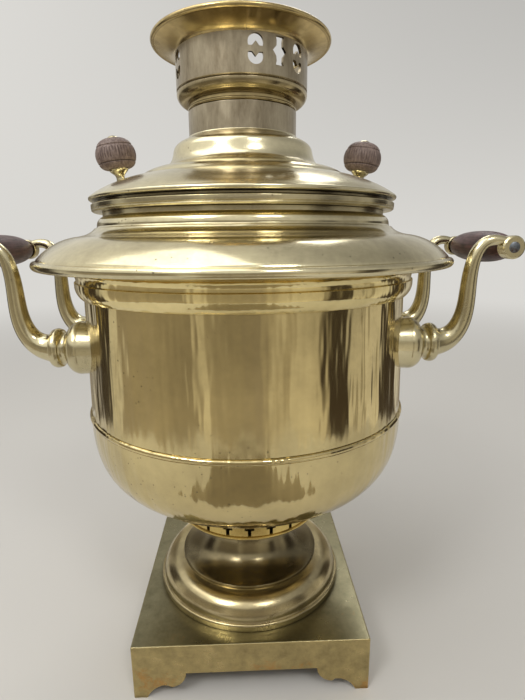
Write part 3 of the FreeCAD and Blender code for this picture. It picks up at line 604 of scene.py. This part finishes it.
# %% Turning an outline
def spun(name, body, node, material, start, *runs, holes=(), place=None, turns=192):
    """A piece turned round an upright axis, which stands for a CAD node. A hole is a point and a reach in
    millimetres, where the sheet is left open. Place moves a piece that stands somewhere else."""
    points = rounded(outline_points(start, *runs))
    normals = outline_normals(points)
    verts, faces, vertex_normals = [], [], []
    count = len(points)
    for k in range(turns):
        c, s = math.cos(2 * math.pi * k / turns), math.sin(2 * math.pi * k / turns)
        verts += [(r * c * MM, r * s * MM, z * MM) for r, z in points]
        vertex_normals += [(nr * c, nr * s, nz) for nr, nz in normals]
        here, onward = k * count, (k + 1) % turns * count
        for j in range(count):
            up = (j + 1) % count
            faces.append((here + j, onward + j, onward + up, here + up))

    def whole(face):
        middle = [sum(verts[v][i] for v in face) / 4 / MM for i in range(3)]
        return all(math.dist(middle, point) > reach for point, reach in holes)

    faces = [face for face in faces if whole(face)]
    mesh = bpy.data.meshes.new(name)
    mesh.from_pydata(verts, [], faces)
    mesh.shade_smooth()
    if sum(p.normal.dot(Vector(vertex_normals[p.vertices[0]])) for p in mesh.polygons) < 0:
        mesh.flip_normals()
    mesh.normals_split_custom_set_from_vertices(vertex_normals)
    mesh.materials.append(material)
    piece = bpy.data.objects.new(name, mesh)
    bpy.context.collection.objects.link(piece)
    piece.matrix_world = place or Matrix()
    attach(piece, body)
    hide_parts(node)
    print(name, "stands for", node, "with", len(faces), "faces")

# %% [markdown]
# ## The foot
#
# The foot is spun in two rings. The cushion has a flat edge below and a round step above it. The bell
# narrows to a waist and flares out again under the vessel. On the real samovar they are soldered where
# they meet, and a thin line of dirt shows there. Each outline below goes up the outside and comes back
# down the inside, a sheet's thickness away.

# %% Foot
spun("foot_cushion", "urn", "pedestal_foot", CUSHION_BRASS,
     (72.8, 42.0), [(72.8, 45.6)], [(72.5, 46.8), (71.2, 47.3)], [(70.6, 48.2)], [(67.9, 56.6), (56.2, 62.2)],
     [(54.9, 62.4)], [(50.5, 62.4)], [(50.5, 60.6)], [(55.4, 60.2)], [(66.2, 55.3), (68.8, 47.6)],
     [(69.8, 42.0)])
spun("foot_bell", "urn", "pedestal_stem", SHADED_BELL_BRASS,
     (54.4, 62.4), [(54.4, 64.0)], [(52.4, 64.8)], [(39.0, 67.2), (31.6, 76.0), (30.6, 87.0)],
     [(30.2, 95.0), (36.0, 99.6), (47.0, 101.7)], [(54.0, 101.7)], [(54.0, 103.5)], [(28.6, 103.5)],
     [(28.6, 87.0)], [(29.6, 74.8), (37.6, 65.0), (51.2, 62.9)], [(51.2, 62.4)])

# %% [markdown]
# ## The vessel
#
# Water stands in a bowl with an upright wall above it. The two sheets are joined under a half-round bead
# of the same polish. Above the wall sits a moulded collar, then the wide shoulder that carries the lid.
# All five are spun, so all five are outlines here. The tap's shank goes through the bowl at the back, so
# the bowl has a hole there.

# %% Vessel
TAP_HOLE = ((0.0, 113.5, 168.0), 7.0)
spun("vessel_bowl", "urn", "body_bowl", VESSEL_BRASS,
     (33.0, 113.5), [(55.0, 113.5)], [(83.3, 139.3), (114.4, 132.7), (114.4, 188.5)], [(114.4, 190.9)],
     [(112.6, 190.9)], [(112.6, 188.5)], [(112.6, 133.6), (82.04, 140.74), (53.74, 115.3)], [(33.0, 115.3)],
     holes=(TAP_HOLE,))
spun("half_round_bead", "urn", "seam_bead", VESSEL_BRASS,
     (112.6, 190.9), [(114.4, 190.9)], [(115.4, 192.7), (113.7, 194.4)], [(111.9, 194.4)])
spun("vessel_wall", "urn", "body_wall", VESSEL_BRASS,
     (113.7, 194.4), [(112.0, 273.8)], [(112.0, 291.0)], [(110.2, 291.0)], [(110.2, 273.8)], [(111.9, 194.4)])
spun("moulded_collar", "urn", "collar_ring", COLLAR_BRASS,
     (112.0, 273.8), [(113.4, 273.8)], [(116.2, 277.4), (117.3, 283.0)], [(117.3, 284.6)], [(116.3, 285.1)],
     [(117.0, 288.7), (119.6, 291.0)], [(112.0, 291.0)])
spun("wide_shoulder", "urn", "shoulder", SHOULDER_BRASS,
     (110.2, 291.0), [(119.6, 291.0)], [(137.4, 293.4)], [(141.4, 296.0), (140.2, 298.4)], [(138.2, 298.8)],
     [(137.8, 299.8)], [(132.4, 306.2), (123.0, 312.0), (113.0, 313.2)],
     [(108.0, 313.9), (104.0, 315.4), (101.8, 318.3)], [(100.6, 318.6)], [(100.0, 319.4)],
     [(98.9, 323.4), (96.0, 325.6)], [(96.0, 328.4)], [(94.2, 328.4)], [(94.2, 324.0)], [(98.0, 317.8)],
     [(103.0, 313.3)], [(112.8, 311.4)], [(122.0, 310.2), (130.0, 305.4), (135.4, 299.4)], [(136.6, 295.6)],
     [(119.6, 292.8)], [(110.2, 292.8)])

# %% [markdown]
# ## The lid and its seat
#
# A grooved ring is soldered to the shoulder's neck, and the lid rests on it with a thin dark gap. The lid
# is three spun sheets: a stepped dome, a flanged skirt below it that keeps it centred, and a sleeve that
# the fire tube rises through. The sleeve stands next to the fire's smoke. Heat turns brass grey-brown, so
# the sleeve has its own brass, and the line where it enters the dome stays visible.

# %% Lid
spun("grooved_seat", "urn", "lid_seat", SHOULDER_BRASS,
     (92.0, 328.4), [(101.6, 328.4)], [(102.8, 329.4)], [(102.2, 329.9)], [(102.8, 330.4)], [(102.8, 332.8)],
     [(102.2, 333.4)], [(92.0, 333.4)])
STEAM_HOLE = ((-7.0, 80.0, 347.5), 4.5)
spun("stepped_lid", "lid", "lid", LID_BRASS,
     (36.4, 377.4), [(37.2, 377.4)], [(37.8, 374.6), (45.6, 374.6), (47.3, 369.0)],
     [(48.4, 364.5), (48.6, 359.5), (55.5, 357.5)], [(60.0, 356.2), (65.5, 355.2), (68.6, 352.6)],
     [(70.2, 351.2)], [(82.0, 349.0), (95.0, 344.0), (103.0, 338.0)], [(104.0, 336.7), (103.0, 335.4)],
     [(89.6, 335.4)], [(89.6, 340.0)], [(84.0, 343.4), (76.0, 346.6), (69.6, 349.0)], [(66.8, 351.4)],
     [(55.0, 355.4)], [(48.6, 357.4)], [(46.2, 362.0)], [(45.3, 368.2)], [(43.2, 371.2)], [(38.6, 372.8)],
     [(36.4, 373.2)], holes=(STEAM_HOLE,))
spun("flanged_skirt", "lid", "lid_skirt", SHOULDER_BRASS,
     (89.6, 326.0), [(91.4, 326.0)], [(91.4, 333.7)], [(98.0, 333.7)], [(98.0, 335.4)], [(89.6, 335.4)])
spun("hot_sleeve", "lid", "lid_neck", SLEEVE_BRASS,
     (34.4, 372.6), [(36.4, 372.6)], [(36.4, 393.3)], [(34.4, 393.3)])

# %% [markdown]
# ## The crown
#
# The crown stands on the neck and holds the teapot in the smoke's warmth. Its foot and its dished flange
# are spun. The cylinder between them is pierced, and its CAD mesh has the cut windows, so it stays as it
# is and only gets its brass.

# %% Crown
spun("crown_foot", "crown", "crown_base", CROWN_BRASS,
     (33.7, 393.6), [(35.8, 393.6)], [(36.4, 394.4), (36.2, 395.6)], [(36.1, 398.2)],
     [(41.9, 399.7), (43.6, 404.2)], [(42.9, 405.0)], [(41.8, 405.0)], [(41.2, 403.4)], [(39.6, 401.2)],
     [(35.0, 400.0)], [(33.7, 398.8)])
spun("dished_flange", "crown", "crown_flange", FLANGE_BRASS,
     (41.8, 427.6), [(43.6, 427.6)], [(45.0, 430.4), (51.0, 432.4), (56.6, 433.3)],
     [(58.9, 434.9), (57.5, 436.4)], [(56.4, 436.4)], [(55.2, 435.2)],
     [(50.2, 434.2), (43.2, 432.2), (41.8, 428.4)])

# %% [markdown]
# ## Wood
#
# Wood doesn't carry heat, so the fingers touch wood and never brass. The two knobs are turned from a hard
# wood that has gone grey with age. The handle grips are dark and polished by hands. In both, the grain
# runs along the turning axis. Real fibres are finer than a tenth of a millimetre, so they are drawn at
# about one millimetre to show at all. Stretched noise gives them on any shape, where a picture of wood
# would have to be laid out on each piece.


# %% Old turned wood
GRAIN_WIDTH, CLOUD_SIZE = 1.1 * MM, 9 * MM
PORE_DEPTH, CORNER_REACH = 0.15 * MM, 2 * MM
WORN_DULLING = 0.2


def old_wood(name, light, dark, along, rough):
    """Turned hardwood, and the nodes that more detail joins on to. Along scales the grain's coordinates,
    and is small on the axis that the grain follows."""
    material, tree = new_material(name)
    place = add_node(tree, "TexCoord")
    drawn = add_node(tree, "Mapping", Vector=(place, "Object"), Scale=along)
    grain = add_node(tree, "TexNoise", Vector=(drawn, 0), Scale=1 / GRAIN_WIDTH, Detail=5.0, Roughness=0.65)
    clouds = add_node(tree, "TexNoise", Vector=(place, "Object"), Scale=1 / CLOUD_SIZE, Detail=4.0)
    tone = add_node(tree, "Mix", {"data_type": "FLOAT"}, n0=0.35, n2=(grain, 0), n3=(clouds, 0))
    depth = add_node(tree, "MapRange", n0=(tone, 0), n1=0.36, n2=0.62, n3=0.0, n4=1.0)
    colour = add_node(tree, "Mix", {"data_type": "RGBA"}, n0=(depth, 0), n6=linear(light), n7=linear(dark))
    # Corners that ambient occlusion finds closed in are painted dark: painted shade.
    corner = add_node(tree, "AmbientOcclusion", {"samples": 6}, Distance=CORNER_REACH)
    corner_shade_mask = add_node(tree, "MapRange", n0=(corner, "AO"), n1=0.85, n2=0.3, n3=0.0, n4=0.9)
    shade_darkened = add_node(tree, "Mix", {"data_type": "RGBA"}, n0=(corner_shade_mask, 0), n6=(colour, 2), n7=linear("1E1512"))
    dull = add_node(tree, "MapRange", n0=(depth, 0), n1=0.0, n2=1.0, n3=rough, n4=rough + WORN_DULLING)
    pores = add_node(tree, "Bump", Strength=0.6, Distance=PORE_DEPTH, Height=(grain, 0))
    skin = add_node(tree, "BsdfPrincipled", Base_Color=(shade_darkened, 2), Roughness=(dull, 0), Normal=(pores, 0))
    add_node(tree, "OutputMaterial", Surface=(skin, 0))
    return material, {"place": place, "skin": skin, "pores": pores, "shade_darkened": shade_darkened}


# Dry and grey-brown, with a matt face.
KNOB_WOOD, knob = old_wood("greyed_turned_wood", "9C887E", "5E4C46", (1.0, 1.0, 0.12), 0.5)
# Dark red-brown, with a soft gloss from hands.
GRIP_WOOD = old_wood("dark_polished_wood", "5A3330", "2C1716", (1.0, 0.08, 1.0), 0.3)[0]
print("woods:", KNOB_WOOD.name, GRIP_WOOD.name)

# %% [markdown]
# The knobs' middle band is milled with a ring of short upright cuts, so that wet fingers don't slip. Cuts
# this fine are a matter for the material. The angle round the axis, times the number of cuts, gives a
# wave, and the crests of that wave are cut in where the height is inside the band. Years of fingers have
# worn the cuts away in places.

# %% Milled band on the knobs
CUTS, CUT_DEPTH = 44, 0.35 * MM
BAND_LOW, BAND_HIGH, BAND_FADE = 16.0 * MM, 23.2 * MM, 0.8 * MM
KNOB_RADIUS = 13.25

tree = KNOB_WOOD.node_tree
split = add_node(tree, "SeparateXYZ", Vector=(knob["place"], "Object"))
angle = add_node(tree, "Math", {"operation": "ARCTAN2"}, n0=(split, "Y"), n1=(split, "X"))
turned = add_node(tree, "Math", {"operation": "MULTIPLY"}, n0=(angle, 0), n1=float(CUTS))
wave = add_node(tree, "Math", {"operation": "SINE"}, n0=(turned, 0))
above = add_node(tree, "MapRange", n0=(split, "Z"), n1=BAND_LOW, n2=BAND_LOW + BAND_FADE, n3=0.0, n4=1.0)
below = add_node(tree, "MapRange", n0=(split, "Z"), n1=BAND_HIGH - BAND_FADE, n2=BAND_HIGH, n3=1.0, n4=0.0)
band = add_node(tree, "Math", {"operation": "MULTIPLY"}, n0=(above, 0), n1=(below, 0))
worn = add_node(tree, "TexNoise", Vector=(knob["place"], "Object"), Scale=1 / (4 * MM), Detail=3.0)
left_over = add_node(tree, "MapRange", n0=(worn, 0), n1=0.38, n2=0.55, n3=0.2, n4=1.0)
kept = add_node(tree, "Math", {"operation": "MULTIPLY"}, n0=(band, 0), n1=(left_over, 0))
crest = add_node(tree, "MapRange", n0=(wave, 0), n1=0.2, n2=0.8, n3=0.0, n4=1.0)
cut = add_node(tree, "Math", {"operation": "MULTIPLY"}, n0=(crest, 0), n1=(kept, 0))
# The cuts are painted darker as well: painted shade in the recesses.
painted_cut_shade = add_node(tree, "Math", {"operation": "MULTIPLY"}, n0=(cut, 0), n1=0.6)
milled_and_shaded = add_node(tree, "Mix", {"data_type": "RGBA"}, n0=(painted_cut_shade, 0), n6=(knob["shade_darkened"], 2),
                  n7=linear("3A231E"))
carved = add_node(tree, "Bump", {"invert": True}, Strength=1.0, Distance=CUT_DEPTH, Height=(cut, 0),
                  Normal=(knob["pores"], 0))
tree.links.new(milled_and_shaded.outputs[2], knob["skin"].inputs["Base Color"])
tree.links.new(carved.outputs[0], knob["skin"].inputs["Normal"])
print("cuts round a knob:", CUTS, "one every", round(2 * math.pi * KNOB_RADIUS / CUTS, 1), "mm")

# %% [markdown]
# Each knob stands on its stem, which leans a little outward from the lid. The knob is turned round its own
# axis like the spun pieces, and then set on that lean. Its grain coordinates turn with it, because they
# are its own.

# %% Knobs
KNOB_REACH, KNOB_FOOT = 83.0, 347.3
KNOB_AWAY = math.radians(5.5)
KNOB_LEAN = math.radians(8.0)
for side, word in ((1, "right"), (-1, "left")):
    out = Vector((side * math.cos(KNOB_AWAY), side * math.sin(KNOB_AWAY), 0))
    spindle = out * math.sin(KNOB_LEAN) + Vector((0, 0, math.cos(KNOB_LEAN)))
    across = spindle.cross(out).normalized()
    turn = Matrix((across.cross(spindle), across, spindle)).transposed()
    foot = (out * KNOB_REACH + Vector((0, 0, KNOB_FOOT))) * MM
    spun(f"wooden_knob_{word}", "lid", f"lid_knob_{word}", KNOB_WOOD,
         (2.25, 10.4), [(8.2, 10.4)], [(10.7, 11.8), (12.0, 13.7)], [(11.4, 14.1)], [(12.3, 14.6)],
         [(KNOB_RADIUS, 19.2), (12.0, 24.0)], [(11.2, 24.4)], [(11.5, 25.1)], [(8.9, 28.1), (4.2, 29.5)],
         [(2.25, 29.5)], place=Matrix.Translation(foot) @ turn.to_4x4(), turns=72)

# %% [markdown]
# ## Iron, soot and fibre
#
# Iron does the jobs that brass is too soft for: the grate and the long rods through the grips. Forged iron
# is dark grey with rust in freckles, and cast iron from a fire is nearly black and rough. Inside the fire
# tube the brass itself is covered in soot. The gasket behind the tap is pressed fibre, a dry red-brown
# sheet. All four are dull surfaces with freckles of a second colour, so one function makes them.


# %% Iron, soot and fibre
def freckled(name, base, freckle, metallic, rough, size):
    """A dull old surface with freckles of a second colour, the size of which is in millimetres."""
    material, tree = new_material(name)
    place = add_node(tree, "TexCoord")
    clouds = add_node(tree, "TexNoise", Vector=(place, "Object"), Scale=1 / (size * MM), Detail=7.0,
                      Roughness=0.7)
    share = add_node(tree, "MapRange", n0=(clouds, 0), n1=0.5, n2=0.62, n3=0.0, n4=0.8)
    colour = add_node(tree, "Mix", {"data_type": "RGBA"}, n0=(share, 0), n6=linear(base), n7=linear(freckle))
    dull = add_node(tree, "MapRange", n0=(share, 0), n1=0.0, n2=0.8, n3=rough, n4=min(rough + 0.3, 0.95))
    grain = add_node(tree, "Bump", Strength=0.7, Distance=0.2 * MM, Height=(clouds, 0))
    skin = add_node(tree, "BsdfPrincipled", Base_Color=(colour, 2), Metallic=metallic, Roughness=(dull, 0),
                    Normal=(grain, 0))
    add_node(tree, "OutputMaterial", Surface=(skin, 0))
    return material


IRON = freckled("forged_iron", "767C82", "5A4436", 1.0, 0.38, 4.0)
CAST_IRON = freckled("sooty_cast_iron", "3C3A38", "5A4A3E", 1.0, 0.6, 6.0)
SOOT = freckled("sooty_brass", "6A5C44", "2A241E", 1.0, 0.5, 14.0)
FIBRE = freckled("pressed_fibre", "7A4432", "5A3024", 0.0, 0.75, 3.0)
print("dull surfaces:", [m.name for m in (IRON, CAST_IRON, SOOT, FIBRE)])

# %% [markdown]
# ## The base plate
#
# The square base is thicker brass, filed at its edges and never polished as often as the vessel. Its top
# is painted dark olive, which is tarnish and painted shade together, and its sides lighter, with warm
# copper-red stains low down where cleaning acid ran, and fine upright file marks. Its edges are rubbed
# bright. One material holds all of that: the normal tells top from side, height places the stains,
# ambient occlusion paints shade into the corners, and the Bevel node finds the edges, because near an
# edge its normal leaves the face's own normal.

# %% Base plate brass
PLATE_CLOUDS, PLATE_MOTTLE, STAIN_SIZE = 38 * MM, 7 * MM, 22 * MM
STAIN_LOW, STAIN_HIGH = 6 * MM, 34 * MM
FILE_PITCH, FILE_DEPTH, KNOCK_DEPTH, EDGE_RADIUS = 0.9 * MM, 0.05 * MM, 0.12 * MM, 0.9 * MM

PLATE_BRASS, tree = new_material("filed_brass_plate")
place = add_node(tree, "TexCoord")
around = add_node(tree, "NewGeometry")
facing = add_node(tree, "SeparateXYZ", Vector=(around, "Normal"))
# The top is painted darker and greyer than the sides: tarnish, and painted shade as well.
top_tarnish_and_shade = add_node(tree, "MapRange", n0=(facing, "Z"), n1=0.5, n2=0.9, n3=0.0, n4=1.0)
clouds = add_node(tree, "TexNoise", Vector=(place, "Object"), Scale=1 / PLATE_CLOUDS, Detail=7.0,
                  Roughness=0.66)
mottle = add_node(tree, "TexNoise", Vector=(place, "Object"), Scale=1 / PLATE_MOTTLE, Detail=6.0,
                  Roughness=0.72)
both = add_node(tree, "Mix", {"data_type": "FLOAT"}, n0=0.4, n2=(clouds, 0), n3=(mottle, 0))
uneven = add_node(tree, "MapRange", n0=(both, 0), n1=0.36, n2=0.64, n3=0.0, n4=1.0)
olive = add_node(tree, "Mix", {"data_type": "RGBA"}, n0=(uneven, 0), n6=linear("9E987A"), n7=linear("7C775E"))
tan = add_node(tree, "Mix", {"data_type": "RGBA"}, n0=(uneven, 0), n6=linear("CDB984"), n7=linear("94865E"))
either = add_node(tree, "Mix", {"data_type": "RGBA"}, n0=(top_tarnish_and_shade, 0), n6=(tan, 2), n7=(olive, 2))
print("base plate:", PLATE_BRASS.name, "with clouds of", PLATE_CLOUDS, "m")

# %% Stains and painted corner shade on the base plate
height = add_node(tree, "SeparateXYZ", Vector=(place, "Object"))
low = add_node(tree, "MapRange", n0=(height, "Z"), n1=STAIN_LOW, n2=STAIN_HIGH, n3=0.16, n4=0.0)
stain_noise = add_node(tree, "TexNoise", Vector=(place, "Object"), Scale=1 / STAIN_SIZE, Detail=8.0,
                       Roughness=0.75)
wet = add_node(tree, "Math", {"operation": "ADD"}, n0=(stain_noise, 0), n1=(low, 0))
stain = add_node(tree, "MapRange", n0=(wet, 0), n1=0.62, n2=0.74, n3=0.0, n4=0.75)
stained = add_node(tree, "Mix", {"data_type": "RGBA"}, n0=(stain, 0), n6=(either, 2), n7=linear("C08A48"))
# Corners that ambient occlusion finds closed in are painted dark: painted shade.
corner = add_node(tree, "AmbientOcclusion", {"samples": 6}, Distance=6 * MM)
corner_shade_mask = add_node(tree, "MapRange", n0=(corner, "AO"), n1=0.8, n2=0.3, n3=0.0, n4=0.8)
shade_darkened = add_node(tree, "Mix", {"data_type": "RGBA"}, n0=(corner_shade_mask, 0), n6=(stained, 2), n7=linear("2A2416"))
print("stains between", STAIN_LOW, "and", STAIN_HIGH, "m above the floor")

# %% Edges and file marks of the base plate
round_edge = add_node(tree, "Bevel", {"samples": 6}, Radius=EDGE_RADIUS)
agree = add_node(tree, "VectorMath", {"operation": "DOT_PRODUCT"}, n0=(round_edge, 0),
                 n1=(around, "True Normal"))
edge = add_node(tree, "MapRange", n0=(agree, "Value"), n1=0.998, n2=0.93, n3=0.0, n4=0.9)
rubbed = add_node(tree, "Mix", {"data_type": "RGBA"}, n0=(edge, 0), n6=(shade_darkened, 2), n7=linear("E9D08C"))
upright = add_node(tree, "Mapping", Vector=(place, "Object"), Scale=(1.0, 1.0, 0.05))
file_marks = add_node(tree, "TexNoise", Vector=(upright, 0), Scale=1 / FILE_PITCH, Detail=3.0)
filed = add_node(tree, "Bump", Strength=0.5, Distance=FILE_DEPTH, Height=(file_marks, 0),
                 Normal=(round_edge, 0))
knocks = add_node(tree, "Bump", Strength=0.6, Distance=KNOCK_DEPTH, Height=(mottle, 0), Normal=(filed, 0))
dull = add_node(tree, "MapRange", n0=(uneven, 0), n1=0.0, n2=1.0, n3=0.24, n4=0.36)
skin = add_node(tree, "BsdfPrincipled", Base_Color=(rubbed, 2), Metallic=1.0, Roughness=(dull, 0),
                Normal=(knocks, 0))
add_node(tree, "OutputMaterial", Surface=(skin, 0))
print("file marks", FILE_PITCH, "m apart, edges rubbed over", EDGE_RADIUS, "m")

# %% [markdown]
# ## Dressing the CAD pieces
#
# The cast arms, the pierced crown cylinder, the air ring, the tap and the small fastenings have the right
# shape already, so they only get their finish. Each piece is listed by name, so that none is forgotten.

# %% Finishes of the CAD pieces
FINISHES = {
    PLATE_BRASS: ["base_plate"],
    AIR_RING_BRASS: ["air_gallery"],
    CROWN_BRASS: ["crown_band"],
    SOOT: ["firepot", "chimney_tube"],
    CAST_IRON: ["grate"],
    IRON: ["handle_rod_right", "handle_rod_left"],
    GRIP_WOOD: ["handle_grip_right", "handle_grip_left"],
    FIBRE: ["tap_gasket"],
    CAST_BRASS: ["handle_arm_front_right", "handle_arm_front_left", "handle_arm_back_right",
                 "handle_arm_back_left", "knob_stem_right", "knob_stem_left", "tap_body", "tap_rosette",
                 "tap_key", "tap_key_washer", "tap_key_nut", "tap_lock_nut", "arm_washers", "arm_nuts",
                 "knob_nuts", "vent_seat", "vent_flap"],
}
dressed = set()
for finish, names in FINISHES.items():
    for node_name in names:
        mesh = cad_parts[node_name].data
        mesh.materials.clear()
        mesh.materials.append(finish)
        dressed.add(node_name)
print("dressed:", len(dressed), "rebuilt:", len(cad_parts) - len(dressed))
